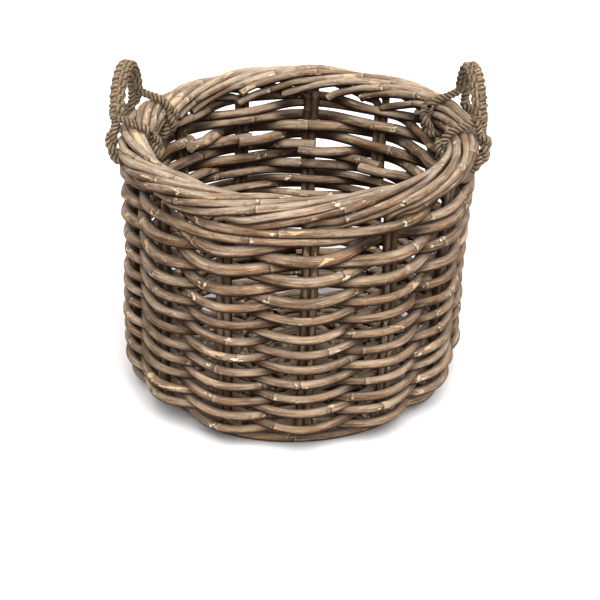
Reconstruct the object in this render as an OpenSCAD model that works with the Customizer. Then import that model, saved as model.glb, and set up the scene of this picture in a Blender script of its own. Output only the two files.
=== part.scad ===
// Round log basket of unpeeled rattan rods, woven on pairs of stakes, with a rolled
// border and two plaited rope handles. Millimetres, +Z up, origin on the floor at the
// middle of the base. The handles stand at the +X and -X sides.

/* [Overall size] */
// Diameter of the circle on which the wall stakes stand
stake_circle_d = 460; // [380:5:560]
// Height from the floor to the middle of the rolled border
border_height = 370; // [300:1:450]
// Radius of the bend between the base and the wall, along the stakes
corner_r = 38; // [34:1:56]
// How far the middle of the base is raised, so that the basket stands on its foot rods
base_dome = 8; // [4:1:14]

/* [Stakes and base sticks] */
// Diameter of a stake rod
stake_d = 10.6; // [8.5:0.1:12.5]
// Diameter of a base stick
stick_d = 10; // [8:0.1:12]
// Radius at which the stakes begin, pushed in beside the base sticks
stake_tail_r = 108; // [90:1:130]

/* [Weave] */
// Diameter of the weaving rods in the lower part of the wall
low_weaver_d = 11.2; // [9:0.1:13.5]
// Diameter of the weaving rods under the border
high_weaver_d = 13.4; // [9:0.1:17]
// Diameter of the three foot rods
foot_rod_d = 12; // [10:0.1:14]
// Diameter of the two rods that close the weave under the border
top_rod_d = 11.6; // [10:0.1:14]
// Diameter of the weaving rods in the base
base_weaver_d = 9.5; // [8:0.1:11]
// Gap left between rods where the real ones press on each other
rod_gap = 0.3; // [0.2:0.05:0.8]

/* [Handles] */
// Diameter of the plaited rope
rope_d = 22; // [16:0.5:26]
// Height of the rope's centre line over the middle of the border, at the top of the loop
handle_rise = 94; // [76:1:120]
// How far outside the middle of the border the rope loop stands
handle_out = 22; // [0:1:24]
// Width of the rope wound round the border at each end of a handle
wrap_w = 14; // [10:1:18]
// Thickness of the rope wound round the border
wrap_t = 6; // [5:0.5:8]
// Thickness of the lashing round each leg of a handle
lashing_t = 3; // [2:0.5:4]

/* [Hidden] */
stations = 13; // stake pairs, odd so that a running weave alternates by itself
first_angle = -83.9; // direction of the first pair if the pairs were evenly spaced
angle_drift = 2.5; // a handmade basket's pairs drift this far from even spacing
drift_phase = 26.5;

rod_sides = 6; // facets round a rod, one of them flat on the floor under the foot rods
flat_share = cos(180 / rod_sides); // middle of a facet, as a share of the rod's radius

wall_r = stake_circle_d / 2;
flat_r = wall_r - corner_r;
arc_len = corner_r * PI / 2;
dome_r = flat_r - 42;
wall_start = flat_r + arc_len;

foot_swing = (stake_d + foot_rod_d) / 2 + rod_gap; // stake middle to foot rod middle
base_swing = (max(stick_d, stake_d) + base_weaver_d) / 2 + rod_gap;
base_z = foot_swing + foot_rod_d / 2 * flat_share;
base_side = (stick_d + stake_d) / 2 + rod_gap; // stake beside its base stick
wall_side = (stake_d + rod_gap) / 2; // stake beside its twin on the wall
stick_end_r = flat_r - 8;
plateau_extra = 6; // how far past the outer stake a weaver stays level

border_turn = 324; // how far a stake rolls round the border before it is cut off
border_rods = 8; // rods in any section of the border
border_step = border_turn / border_rods;
border_pitch = 2 * border_step; // roll of one rod from one station to the next
border_rho = (stake_d + rod_gap + 0.5) / (2 * sin(border_step / 2));
border_out_r = border_rho + stake_d / 2;

kink_sag = 7; // extra drop of a leading stake where it starts to roll
kink_reach = 0.6; // stations over which that drop runs out
roll_from = 0.25; // stations from the pair to where the roll is regular
roll_stop = 1 / 3; // stations from one point of the roll to the next
lead_stops = 11; // points on the roll of a leading stake, after its first
twin_stops = 9; // and on the roll of its twin, which is cut off sooner

leg_lead = 0.73; // handle legs stand this far from one pair towards the next
right_handle_u = 2 + leg_lead + 0.5;
left_handle_u = 8 + leg_lead + 0.5;
leg_turn = 180 / stations; // angle between the hinge line and the border at a leg
wrap_in_r = border_out_r / cos(leg_turn) + wrap_w / 2 * tan(leg_turn) + 0.5;
wrap_out_r = wrap_in_r + wrap_t;
rope_in_r = border_out_r / cos(leg_turn) + rope_d / 2 * tan(leg_turn) + 0.5;
lashing_turn = 13; // degrees of the loop that a lashing covers
lashing_lift = 4; // degrees of the loop left bare under it

foot_rods = 3;
foot_pitch = foot_rod_d + rod_gap;
foot_start = flat_r - foot_pitch; // the first two lie flat on the floor
foot_end = foot_start + (foot_rods - 1) * foot_pitch;

rod_span = 14; // stations that one weaving rod passes before the next one is laid in
inner_squeeze = corner_r / (corner_r - foot_swing); // rods crowd inside the bend
weave_start = foot_end + (foot_rod_d + low_weaver_d) / 2 * inner_squeeze + rod_gap;
top_rods = 2;
top_pitch = top_rod_d + rod_gap;
top_end = wall_start + border_height - base_z - corner_r
    - wrap_out_r - top_rod_d / 2 - 2 * rod_gap;
top_start = top_end - (top_rods - 1) * top_pitch;
weave_top = top_start - (top_rod_d + high_weaver_d) / 2 - rod_gap;
thick_from = 0.68; // share of the wall's height where the rods start to get thicker
thick_to = 0.8;
tight_start = 52; // radius of the first turn of the base weave
base_end = foot_start - (foot_rod_d + base_weaver_d) / 2 - 2 * rod_gap;

// Rod diameter at a distance s along the wall
function weaver_d(s) =
    let (share = (s - weave_start) / (weave_top - weave_start))
    let (ramp = min(1, max(0, (share - thick_from) / (thick_to - thick_from))))
    low_weaver_d + (high_weaver_d - low_weaver_d) * ramp;

// Distances along the meridian at which the turns of the weave begin
function turns_up(s, top) =
    let (next = s + weaver_d(s + low_weaver_d) + rod_gap)
    next > top ? [s] : concat([s], turns_up(next, top));
tight_turns = turns_up(weave_start, weave_top);
spread = (weave_top - weave_start) / (tight_turns[len(tight_turns) - 1] - weave_start);
wall_turns = [for (s = tight_turns) weave_start + (s - weave_start) * spread];
base_turn_count = floor((base_end - tight_start) / (base_weaver_d + rod_gap));
base_turns = [for (t = [0:base_turn_count])
    tight_start + (base_end - tight_start) * t / base_turn_count];

// Last inside station of a running weave, and the number of rods that fill it
function last_station(turns) = 1 + 2 * floor(stations * (len(turns) - 1) / 2);
function rods_in(turns) = round((last_station(turns) - 1) / rod_span);
wall_rods = rods_in(wall_turns);
base_rods = rods_in(base_turns);

function numbered(name, i) = str(name, "_", i < 9 ? "0" : "", i + 1);

// ---- Places on the basket ----

function unit(v) = v / norm(v);

// Direction of station u, which may lie between two pairs
function station_angle(u) =
    let (even = first_angle + u * 360 / stations)
    even + angle_drift * sin(even + drift_phase);

function arc_angle(s) = min(90, max(0, (s - flat_r) / corner_r * 180 / PI));

// [radius, height] of the stakes' middle at a distance s from the middle of the base
function meridian(s) =
    let (t = arc_angle(s))
    let (dome = base_dome * pow(max(0, 1 - pow(s / dome_r, 2)), 2))
    s < flat_r
    ? [s, base_z + dome]
    : [flat_r + corner_r * sin(t), base_z + corner_r * (1 - cos(t)) + max(0, s - wall_start)];

function on_circle(u, radius, side, z) =
    let (a = station_angle(u))
    [radius * cos(a) - side * sin(a), radius * sin(a) + side * cos(a), z];

// Point at station u and distance s, pushed out through the wall and aside
function place(u, s, out, side = 0) =
    let (m = meridian(s), t = arc_angle(s))
    on_circle(u, m[0] + out * sin(t), side, m[1] - out * cos(t));

function outward(u, s) =
    let (a = station_angle(u), t = arc_angle(s))
    [sin(t) * cos(a), sin(t) * sin(a), -cos(t)];

// How far a stake stands aside from the middle of its pair
function stake_side(s) =
    let (share = min(1, max(0, (s - stick_end_r) / (wall_start - stick_end_r))))
    s < stake_tail_r - base_weaver_d ? 0 : base_side + (wall_side - base_side) * share;

// Half of the stretch, in stations, over which a weaver lies level at a pair
function plateau(s) =
    (stake_side(s) + plateau_extra) * stations / (2 * PI * meridian(s)[0]);

// ---- Rods ----

function tangents(points) =
    let (last = len(points) - 1)
    [for (i = [0:last]) unit(points[min(last, i + 1)] - points[max(0, i - 1)])];

// Carries a side direction along a bent rod without letting it twist
function carried(directions, start) =
    [for (i = 0, e = start; i < len(directions);
        i = i + 1, e = unit(e - (e * directions[min(i, len(directions) - 1)])
            * directions[min(i, len(directions) - 1)])) e];

module rod(points, sides_up, d) {
    last = len(points) - 1;
    t = tangents(points);
    rings = [for (i = [0:last])
        let (e = unit(sides_up[i] - (sides_up[i] * t[i]) * t[i]), f = cross(t[i], e))
        for (j = [0:rod_sides - 1])
            let (a = (j + 0.5) * 360 / rod_sides)
            points[i] + d / 2 * (cos(a) * e + sin(a) * f)];
    walls = [for (i = [0:last - 1], j = [0:rod_sides - 1])
        let (k = (j + 1) % rod_sides, low = i * rod_sides, high = low + rod_sides)
        [low + k, low + j, high + j, high + k]];
    caps = [[for (j = [0:rod_sides - 1]) j],
        [for (j = [0:rod_sides - 1]) (last + 1) * rod_sides - 1 - j]];
    polyhedron(rings, concat(walls, caps));
}

module bent_rod(points, start, d) {
    rod(points, carried(tangents(points), start), d);
}

// ---- Weave ----

function turn_at(turns, u) =
    let (t = min(len(turns) - 1.000001, max(0, (u - 1) / stations)), whole = floor(t))
    turns[whole] + (turns[whole + 1] - turns[whole]) * (t - whole);

// One rod of a running weave. Its tail is laid inside the head of the next rod.
module running_rod(turns, i, count, d, swing) {
    first = 1 + i * rod_span;
    last = i == count - 1 ? last_station(turns) : first + rod_span;
    tail = i == count - 1 ? 0 : d + 2 * rod_gap;
    stops = [for (j = [first:last], way = [-1, 1])
        let (level = plateau(turn_at(turns, j)))
        let (u = j + way * level - (j == last && way < 0 && tail > 0 ? 0.08 : 0))
        let (out = (j % 2 == 0 ? swing : -swing) - (j == last ? tail : 0))
        [u, turn_at(turns, u), out]];
    rod([for (p = stops) place(p[0], p[1], p[2])], [for (p = stops) outward(p[0], p[1])], d);
}

module wall_weaver(i) {
    s = turn_at(wall_turns, 1 + i * rod_span);
    d = weaver_d(s);
    color("rosybrown") running_rod(wall_turns, i, wall_rods, d, (stake_d + d) / 2 + rod_gap);
}

module base_weavers() {
    color("tan")
        for (i = [0:base_rods - 1])
            running_rod(base_turns, i, base_rods, base_weaver_d, base_swing);
}

// A closing rod passes outside two pairs and inside the third, and meets its own start
module closing_rod(i, s, d) {
    swing = (stake_d + d) / 2 + rod_gap;
    level = plateau(s);
    stops = concat(
        [for (j = [0:stations - 1], way = [-1, 1])
            [i + j + way * level, j % 3 == 0 && j < stations - 1 ? -swing : swing]],
        [[i + stations - level - 0.03, -swing]]
    );
    rod([for (p = stops) place(p[0], s, p[1])], [for (p = stops) outward(p[0], s)], d);
}

module foot_rod(i) {
    color("tan") closing_rod(i, foot_start + i * foot_pitch, foot_rod_d);
}

module top_rod(i) {
    color("rosybrown") closing_rod(i + 1, top_start + i * top_pitch, top_rod_d);
}

// ---- Stakes ----

function border_point(u, across, up, side = 0) =
    on_circle(u, wall_r + across, side, border_height + up);

// A rod rolls round the border's middle; it hangs lower where it has just kinked over
function rolled(k, phase, w, sag) =
    let (a = phase + border_pitch * w)
    let (rho = border_rho + sag * pow(max(0, 1 - w / kink_reach), 2))
    border_point(k + w, rho * cos(a), rho * sin(a));

// A stake runs from the base up the wall, kinks over and rolls round the border.
// The leading stake of a pair kinks low, its twin kinks over it.
module stake(k, way) {
    leading = way > 0;
    phase = leading ? -90 : border_step - 90;
    // Each stop of the kink: stations from the pair, then in stake diameters how far aside,
    // how far out, and how far over the lowest rod of the roll
    kink = leading
        ? [[0, 0.52, 0, -1.67], [0, 0.58, 0.07, -1.17], [0.12, 0, 0.27, -0.52]]
        : [[0, -0.52, 0, -1.57], [0, -0.52, 0.11, -0.82], [0, -0.36, 0.57, -0.17],
            [0.04, 0, 0.85, 0.33]];
    wall_s = [stake_tail_r, stick_end_r + 2, flat_r, wall_start - 3 * arc_len / 4,
        wall_start - arc_len / 2, wall_start - arc_len / 4, wall_start];
    points = concat(
        [for (s = wall_s) place(k, s, 0, way * stake_side(s))],
        [for (p = kink)
            border_point(k + p[0], p[2] * stake_d, p[3] * stake_d - border_rho, p[1] * stake_d)],
        [for (j = [0:leading ? lead_stops : twin_stops])
            rolled(k, phase, roll_from + j * roll_stop, leading ? kink_sag : 0)]
    );
    bent_rod(points, [0, 0, -1], stake_d);
}

module stake_pair(k) {
    color("gray") {
        stake(k, 1);
        stake(k, -1);
    }
}

// ---- Base sticks ----

slath_pitch = stick_d + 1.5; // sticks side by side where they cross
slath_half = 2 * slath_pitch; // they open out from here
fan_r = tight_start - 4;

function stick_end(u, z_shift) = [
    place(u, fan_r, 0) + [0, 0, z_shift / 3],
    place(u, (fan_r + stick_end_r) / 2, 0),
    place(u, stick_end_r, 0)
];

// Three sticks side by side, from three stations to the three across the base
module stick_group(near, far, level) {
    a = (station_angle(near) + station_angle(far) - 180) / 2;
    along = [cos(a), sin(a), 0];
    aside = [-sin(a), cos(a), 0];
    middle = [0, 0, meridian(0)[1] + level];
    for (i = [-1:1]) {
        head = stick_end(near + i, level);
        tail = stick_end(far - i, level);
        points = concat(
            [for (j = [2:-1:0]) head[j]],
            [middle + slath_half * along + i * slath_pitch * aside,
                middle - slath_half * along + i * slath_pitch * aside],
            tail
        );
        bent_rod(points, [0, 0, -1], stick_d);
    }
}

slath_level = (stick_d + rod_gap) / 2;

module base_sticks_lower() {
    color("dimgray") stick_group(3, 10, -slath_level);
}

module base_sticks_upper() {
    color("gray") stick_group(0, 6, slath_level);
}

// The half stick that makes the number of stations odd
module base_stick_odd() {
    color("gray")
        bent_rod([place(8, fan_r - 8, 0), place(8, fan_r + 30, 0), place(8, stick_end_r, 0)],
            [0, 0, -1], stick_d);
}

// ---- Handles ----

// Puts a handle's frame on the border: Y along the hinge line, X outwards
module at_handle(u) {
    a = border_point(u - 0.5, 0, 0);
    b = border_point(u + 0.5, 0, 0);
    translate((a + b) / 2) rotate(atan2(b[1] - a[1], b[0] - a[0]) - 90) children();
}

function half_span(u) = norm(border_point(u + 0.5, 0, 0) - border_point(u - 0.5, 0, 0)) / 2;

module along_hinge(r, length) {
    rotate([90, 0, 0]) cylinder(h = length, r = r, center = true, $fn = 64);
}

// The loop and its two legs, cut hollow where they stand against the border
module rope_loop(span, arch_z) {
    difference() {
        translate([handle_out, 0, 0]) {
            translate([0, 0, arch_z]) rotate([90, 0, 90])
                rotate_extrude(angle = 180, $fn = 96) translate([span, 0])
                    circle(d = rope_d, $fn = 32);
            for (y = [-span, span])
                translate([0, y, 0]) cylinder(h = max(arch_z, 1), d = rope_d, $fn = 32);
        }
        along_hinge(rope_in_r, 3 * span);
    }
}

// Rope wound once round the border
module winding() {
    half_flat = (wrap_w - wrap_t) / 2;
    rotate([90, 0, 0]) rotate_extrude($fn = 64) {
        translate([wrap_in_r, -half_flat]) square([wrap_t, 2 * half_flat]);
        for (z = [-half_flat, half_flat])
            translate([wrap_in_r + wrap_t / 2, z]) circle(d = wrap_t, $fn = 24);
    }
}

module handle(u) {
    span = half_span(u);
    at_handle(u) {
        rope_loop(span, handle_rise - span);
        for (y = [-span, span]) translate([0, y, 0]) winding();
    }
}

// A lashing hugs the rope just above the border
module lashings(u) {
    span = half_span(u);
    arch_z = handle_rise - span;
    from = max(0, asin((wrap_out_r - arch_z) / span)) + lashing_lift;
    at_handle(u) translate([handle_out, 0, arch_z]) rotate([90, 0, 90])
        for (start = [from, 180 - from - lashing_turn])
            rotate(start) rotate_extrude(angle = lashing_turn, $fn = 96) translate([span, 0])
                difference() {
                    circle(d = rope_d + 2 * lashing_t, $fn = 32);
                    circle(d = rope_d + 0.1, $fn = 32);
                }
}

module handle_right() {
    color("darkkhaki") handle(right_handle_u);
}

module handle_right_lashings() {
    color("khaki") lashings(right_handle_u);
}

module handle_left() {
    color("darkkhaki") handle(left_handle_u);
}

module handle_left_lashings() {
    color("khaki") lashings(left_handle_u);
}

base_sticks_lower();
base_sticks_upper();
base_stick_odd();
base_weavers();
for (k = [0:stations - 1])
    stake_pair(k);
for (i = [0:foot_rods - 1])
    foot_rod(i);
for (i = [0:wall_rods - 1])
    wall_weaver(i);
for (i = [0:top_rods - 1])
    top_rod(i);
handle_right();
handle_right_lashings();
handle_left();
handle_left_lashings();
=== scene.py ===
"""Round log basket of unpeeled rattan canes with a rolled border and two plaited
seagrass handles. Metres, +Z up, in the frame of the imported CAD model. The sections
follow the work: base sticks, base weave, stakes with their border, foot, wall, top
rods, handles, and then the studio."""

import math

import bpy
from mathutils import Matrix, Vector, noise


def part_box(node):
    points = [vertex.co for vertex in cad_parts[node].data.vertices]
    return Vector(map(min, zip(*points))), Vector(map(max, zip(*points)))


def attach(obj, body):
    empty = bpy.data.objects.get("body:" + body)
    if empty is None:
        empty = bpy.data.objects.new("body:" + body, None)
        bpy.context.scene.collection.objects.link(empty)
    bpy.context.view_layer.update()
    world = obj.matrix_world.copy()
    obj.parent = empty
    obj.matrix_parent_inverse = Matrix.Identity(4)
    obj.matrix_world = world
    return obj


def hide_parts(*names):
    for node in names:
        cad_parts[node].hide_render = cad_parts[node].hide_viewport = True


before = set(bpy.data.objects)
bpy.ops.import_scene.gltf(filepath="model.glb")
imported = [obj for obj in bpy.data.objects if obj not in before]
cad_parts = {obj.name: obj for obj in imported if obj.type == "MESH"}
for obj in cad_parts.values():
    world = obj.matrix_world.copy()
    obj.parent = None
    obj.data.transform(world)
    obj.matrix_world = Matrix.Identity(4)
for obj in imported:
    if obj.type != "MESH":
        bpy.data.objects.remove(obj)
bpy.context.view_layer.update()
bpy.ops.object.select_all(action="DESELECT")


# ---------------------------------------------------------------- base sticks
# Thirteen spokes of cane: two crossing groups of three whole sticks, and one half
# stick that makes the count odd. Each is cut from a long unpeeled cane.

STATIONS = 13  # pairs of stakes round the wall
FIRST_ANGLE = -83.9  # degrees; direction of the first pair
ANGLE_DRIFT = 2.5  # degrees; how far the pairs drift from even spacing
DRIFT_PHASE = 26.5  # degrees; where the drift starts
WALL_R = 0.230  # circle that the stakes stand on
CORNER_R = 0.038  # bend between base and wall
FLAT_R = WALL_R - CORNER_R
WALL_START = FLAT_R + CORNER_R * math.pi / 2  # way along a stake to the top of the bend
BASE_Z = 0.0168  # middle of the stakes on the base, over the floor
BASE_DOME = 0.008  # rise of the middle of the base
DOME_R = FLAT_R - 0.042  # the base is level outside this
LEAN = 0.011  # how far the base stands aside from the rim
GAP = 0.0003  # between two rods that touch
STAKE_D = 0.0106
BORDER_TURN = 324  # degrees that a stake rolls round the border
BORDER_RODS = 8  # rods in any section of the border
BORDER_STEP = BORDER_TURN / BORDER_RODS
BORDER_GAP = 0.0008  # between two rods of the border
BORDER_RHO = (STAKE_D + BORDER_GAP) / (2 * math.sin(math.radians(BORDER_STEP / 2)))
BORDER_OUT_R = BORDER_RHO + STAKE_D / 2
BORDER_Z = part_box("stake_pair_01")[1].z - BORDER_OUT_R  # middle of the border
WOBBLE = 0.0055  # how far the wall is out of true

CANE_LENGTH = 6.0
CANE_RING = 0.005  # spacing of the rings of faces along a cane
CANE_SIDES = 14
CANE_D = 0.010
CANE_SPARE = 0.02  # left uncut at either end of the long cane
NODE_SPACING = 0.17
NODE_SPREAD = 0.09  # how far the spacing of the nodes varies
SWELLING = 0.035  # a node is this much thicker than the cane
SWELLING_SPREAD = 0.025
FRESH_CUT = 0.731  # each length is cut this much further along the long cane
OVAL = 0.96  # a cane is a little flatter one way


def drift(x, seed=0.0):
    """Smooth wobble along x, from -1 to 1, and another for every seed."""
    return 1.6 * noise.noise(Vector((x, 7.3 * seed + 0.37, 1.9 * seed)))


def smoothstep(x):
    x = min(1.0, max(0.0, x))
    return x * x * (3 - 2 * x)


def station_angle(u):
    even = FIRST_ANGLE + u * 360 / STATIONS
    return math.radians(even + ANGLE_DRIFT * math.sin(math.radians(even + DRIFT_PHASE)))


def on_circle(u, radius, side, z):
    """Point at station u; the basket leans a little, so that its base is off to the left."""
    a = station_angle(u)
    return Vector(
        (
            radius * math.cos(a) - side * math.sin(a) - LEAN * (1 - z / BORDER_Z),
            radius * math.sin(a) + side * math.cos(a),
            z,
        )
    )


def lean(s):
    """Angle of the outward direction, from straight down on the base to level on the wall."""
    return min(math.pi / 2, max(0.0, (s - FLAT_R) / CORNER_R))


def place(u, s, out, side=0.0):
    """Point at station u, s along the stake from the middle of the base, pushed out and aside."""
    t = lean(s)
    if s < FLAT_R:
        radius = s
        z = BASE_Z + BASE_DOME * max(0.0, 1 - (s / DOME_R) ** 2) ** 2
    else:
        radius = FLAT_R + CORNER_R * math.sin(t)
        z = BASE_Z + CORNER_R * (1 - math.cos(t)) + max(0.0, s - WALL_START)
    return on_circle(u, radius + out * math.sin(t), side, z - out * math.cos(t))


def handmade(p):
    """Moves a point with its neighbours: the wall is a little out of true, the rim less so."""
    wall = smoothstep((p.z - 0.03) / 0.08)
    rim = smoothstep((p.z - BORDER_Z + 0.06) / 0.04)
    wobble = noise.noise_vector(p * 8.0 + Vector((3.1, 0.4, 8.2)))
    amount = WOBBLE * wall * (1 - 0.6 * rim)
    return p + wobble * amount


def resample(stops, step=CANE_RING):
    """Points a step apart on a smooth curve through the stops."""
    points = []
    last = len(stops) - 1
    for i in range(last):
        a, b = stops[max(0, i - 1)], stops[i]
        c, d = stops[i + 1], stops[min(last, i + 2)]
        count = max(1, round((c - b).length / step))
        for j in range(count):
            t = j / count
            points.append(
                0.5
                * (
                    2 * b
                    + (c - a) * t
                    + (2 * a - 5 * b + 4 * c - d) * t * t
                    + (3 * b - a - 3 * c + d) * t**3
                )
            )
    points.append(stops[-1])
    return points


def set_attribute(mesh, name, kind, values):
    attribute = mesh.attributes.new(name, kind, "POINT")
    attribute.data.foreach_set("vector" if kind == "FLOAT_VECTOR" else "value", values)


def select_rings(mesh, low, high):
    """In edit mode, selects the vertices whose height lies between low and high."""
    for part in (mesh.vertices, mesh.edges, mesh.polygons):
        part.foreach_set("select", [False] * len(part))
    mesh.vertices.foreach_set(
        "select", [low <= vertex.co.z <= high for vertex in mesh.vertices]
    )


# The long cane: a tube with a swollen ring at every node, uneven distances apart.
bpy.ops.mesh.primitive_circle_add(
    vertices=CANE_SIDES, radius=CANE_D / 2, fill_type="NOTHING", location=(0, 0, 0)
)
long_cane = bpy.context.object
long_cane.name = "long_cane"
bpy.ops.object.mode_set(mode="EDIT")
bpy.ops.mesh.select_all(action="SELECT")
bpy.ops.mesh.extrude_region_move(TRANSFORM_OT_translate={"value": (0, 0, CANE_RING)})
bpy.ops.object.mode_set(mode="OBJECT")
rings = long_cane.modifiers.new("rings", "ARRAY")
rings.use_relative_offset = False
rings.use_constant_offset = True
rings.constant_offset_displace = (0, 0, CANE_RING)
rings.count = round(CANE_LENGTH / CANE_RING)
rings.use_merge_vertices = True
rings.merge_threshold = CANE_RING / 50
bpy.ops.object.modifier_apply(modifier="rings")

cane_nodes = [0.0]
while cane_nodes[-1] < CANE_LENGTH - NODE_SPACING - 0.03:
    between = NODE_SPACING + NODE_SPREAD * drift(len(cane_nodes) * 3.7, 2)
    cane_nodes.append(cane_nodes[-1] + round(between / CANE_RING) * CANE_RING)
for i, at in enumerate(cane_nodes[1:]):
    swelling = SWELLING + SWELLING_SPREAD * drift(i * 2.3, 5)
    for way, share in ((0, 1.0), (-1, 0.45), (1, 0.3)):
        z = at + way * CANE_RING
        select_rings(long_cane.data, z - CANE_RING / 4, z + CANE_RING / 4)
        bpy.ops.object.mode_set(mode="EDIT")
        size = 1 + swelling * share
        bpy.ops.transform.resize(value=(size, size, 1), center_override=(0, 0, z))
        bpy.ops.object.mode_set(mode="OBJECT")


def nearest_node(z):
    return min(cane_nodes, key=lambda at: abs(z - at))


# "cane" is a point's place in the long cane, and "node_gap" how far it is past a node.
cane_places = [v.co.copy() for v in long_cane.data.vertices]
set_attribute(long_cane.data, "node_gap", "FLOAT", [p.z - nearest_node(p.z) for p in cane_places])
set_attribute(long_cane.data, "cane", "FLOAT_VECTOR", [x for p in cane_places for x in p])
long_cane.select_set(False)
used_canes = 0


def bend_along(piece, points):
    """Bends a straight piece, which stands on the origin, along the points."""
    curve = bpy.data.curves.new("route", "CURVE")
    curve.dimensions = "3D"
    curve.resolution_u = 2
    curve.twist_mode = "MINIMUM"
    spline = curve.splines.new("NURBS")
    spline.points.add(len(points) - 1)
    for knot, p in zip(spline.points, points):
        knot.co = (*p, 1)
    spline.order_u = 3
    spline.use_endpoint_u = True
    route = bpy.data.objects.new("route", curve)
    bpy.context.collection.objects.link(route)
    bend = piece.modifiers.new("bend", "CURVE")
    bend.object = route
    bend.deform_axis = "POS_Z"
    bpy.context.view_layer.objects.active = piece
    piece.select_set(True)
    bpy.ops.object.modifier_apply(modifier="bend")
    piece.select_set(False)
    bpy.data.objects.remove(route)


def length_of(points):
    return sum((b - a).length for a, b in zip(points, points[1:]))


def copy_straight(piece, name):
    """A selected copy with a mesh of its own."""
    fresh = piece.copy()
    fresh.data = piece.data.copy()
    fresh.name = name
    bpy.context.collection.objects.link(fresh)
    fresh.select_set(True)
    bpy.context.view_layer.objects.active = fresh
    return fresh


def saw(at, way, tilt=0.0):
    """In edit mode, saws off what lies beyond a height, and closes the end."""
    bpy.ops.mesh.select_all(action="SELECT")
    bpy.ops.mesh.bisect(
        plane_co=(0, 0, at), plane_no=(tilt, 0.2 * tilt, way), clear_inner=True, use_fill=True
    )


def shift_pattern(mesh, name, offset):
    """Moves a pattern's coordinates, so that no two lengths look the same."""
    vectors = mesh.attributes[name].data
    vectors.foreach_set("vector", [x for item in vectors for x in (item.vector + offset)])


def lay_cane(name, points, d, tone=0.0, thicker=0.0):
    """Cuts a fresh length from the long cane, saws both ends, and bends it along the points."""
    global used_canes
    used_canes += 1
    length = length_of(points)
    start = (used_canes * FRESH_CUT) % (CANE_LENGTH - length - 0.05) + CANE_SPARE
    piece = copy_straight(long_cane, name)
    slant = 0.5 * drift(used_canes * 1.7, 3)
    bpy.ops.object.mode_set(mode="EDIT")
    saw(start, 1, slant)
    saw(start + length, -1, -0.4 * slant)
    bpy.ops.mesh.select_all(action="SELECT")
    wide = d / CANE_D
    bpy.ops.transform.resize(value=(wide, wide * OVAL, 1), center_override=(0, 0, 0))
    bpy.ops.transform.translate(value=(0, 0, -start))
    bpy.ops.mesh.normals_make_consistent(inside=False)
    bpy.ops.object.mode_set(mode="OBJECT")
    mesh = piece.data
    sawn = [float(len(face.vertices) > 4) for face in mesh.polygons]
    mesh.attributes.new("sawn", "FLOAT", "FACE").data.foreach_set("value", sawn)
    set_attribute(mesh, "tone", "FLOAT", [tone] * len(mesh.vertices))
    shift_pattern(mesh, "cane", Vector((0.37 * used_canes, 0.11 * used_canes, 0)))
    if thicker:
        taper = piece.modifiers.new("taper", "SIMPLE_DEFORM")
        taper.deform_method = "TAPER"
        taper.deform_axis = "Z"
        taper.factor = thicker
        bpy.ops.object.modifier_apply(modifier="taper")
    piece.select_set(False)
    bend_along(piece, points)
    mesh.polygons.foreach_set("use_smooth", [share < 0.5 for share in sawn])
    return piece


def join(name, pieces):
    bpy.ops.object.select_all(action="DESELECT")
    for piece in pieces:
        piece.select_set(True)
    bpy.context.view_layer.objects.active = pieces[0]
    bpy.ops.object.join()
    joined = bpy.context.object
    joined.name = name
    joined.select_set(False)
    return joined


def group_socket(group, name, kind, way="INPUT", value=None):
    socket = group.interface.new_socket(name, in_out=way, socket_type=kind)
    if value is not None:
        socket.default_value = value
    return socket


class Wiring:
    """Adds nodes to a tree and joins them, in one line each."""

    def __init__(self, tree):
        self.tree = tree

    def node(self, kind, inputs=None, **settings):
        node = self.tree.nodes.new(kind)
        for key, value in settings.items():
            setattr(node, key, value)
        for key, value in (inputs or {}).items():
            if isinstance(value, bpy.types.NodeSocket):
                self.tree.links.new(value, node.inputs[key])
            else:
                node.inputs[key].default_value = value
        return node

    def math(self, operation, a, b=0.0, clamp=False):
        return self.node(
            "ShaderNodeMath", {0: a, 1: b}, operation=operation, use_clamp=clamp
        ).outputs[0]

    def distance(self, a, b):
        squares = self.math("ADD", self.math("POWER", a, 2.0), self.math("POWER", b, 2.0))
        return self.math("SQRT", squares)

    def ramp(self, value, low, high, out_low=0.0, out_high=1.0):
        return self.node(
            "ShaderNodeMapRange",
            {0: value, 1: low, 2: high, 3: out_low, 4: out_high},
            interpolation_type="SMOOTHSTEP",
        ).outputs[0]

    def mix(self, share, a, b, blend="MIX"):
        node = self.node("ShaderNodeMix", data_type="RGBA", blend_type=blend)
        for socket, value in ((node.inputs[0], share), (node.inputs[6], a), (node.inputs[7], b)):
            if isinstance(value, bpy.types.NodeSocket):
                self.tree.links.new(value, socket)
            else:
                socket.default_value = value
        return node.outputs[2]

    def noise(self, vector, scale, detail=2.0, roughness=0.5, distortion=0.0):
        return self.node(
            "ShaderNodeTexNoise",
            {
                "Vector": vector,
                "Scale": scale,
                "Detail": detail,
                "Roughness": roughness,
                "Distortion": distortion,
            },
        ).outputs["Fac"]

    def stretch(self, vector, scale):
        return self.node(
            "ShaderNodeMapping", {"Vector": vector, "Scale": scale}
        ).outputs["Vector"]

    def attribute(self, name, output="Fac"):
        return self.node("ShaderNodeAttribute", attribute_name=name).outputs[output]


RUST = (0.25, 0.135, 0.065, 1)
GRAIN = (0.045, 0.022, 0.010, 1)
DUST = (0.56, 0.49, 0.41, 1)
DIRT = (0.085, 0.049, 0.027, 1)
BARK_EDGE = (0.07, 0.04, 0.022, 1)
PALE_BAND = (0.50, 0.40, 0.29, 1)
DARK_BAND = (0.085, 0.050, 0.028, 1)
SCAR = (0.04, 0.024, 0.014, 1)
BARE_WOOD = (0.68, 0.56, 0.41, 1)
SPECK = (0.035, 0.022, 0.014, 1)
SHADE = (0.022, 0.008, 0.003, 1)
FRESH_END = (0.52, 0.40, 0.27, 1)
GREY_END = (0.22, 0.14, 0.085, 1)
PORE = (0.08, 0.05, 0.03, 1)


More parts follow.
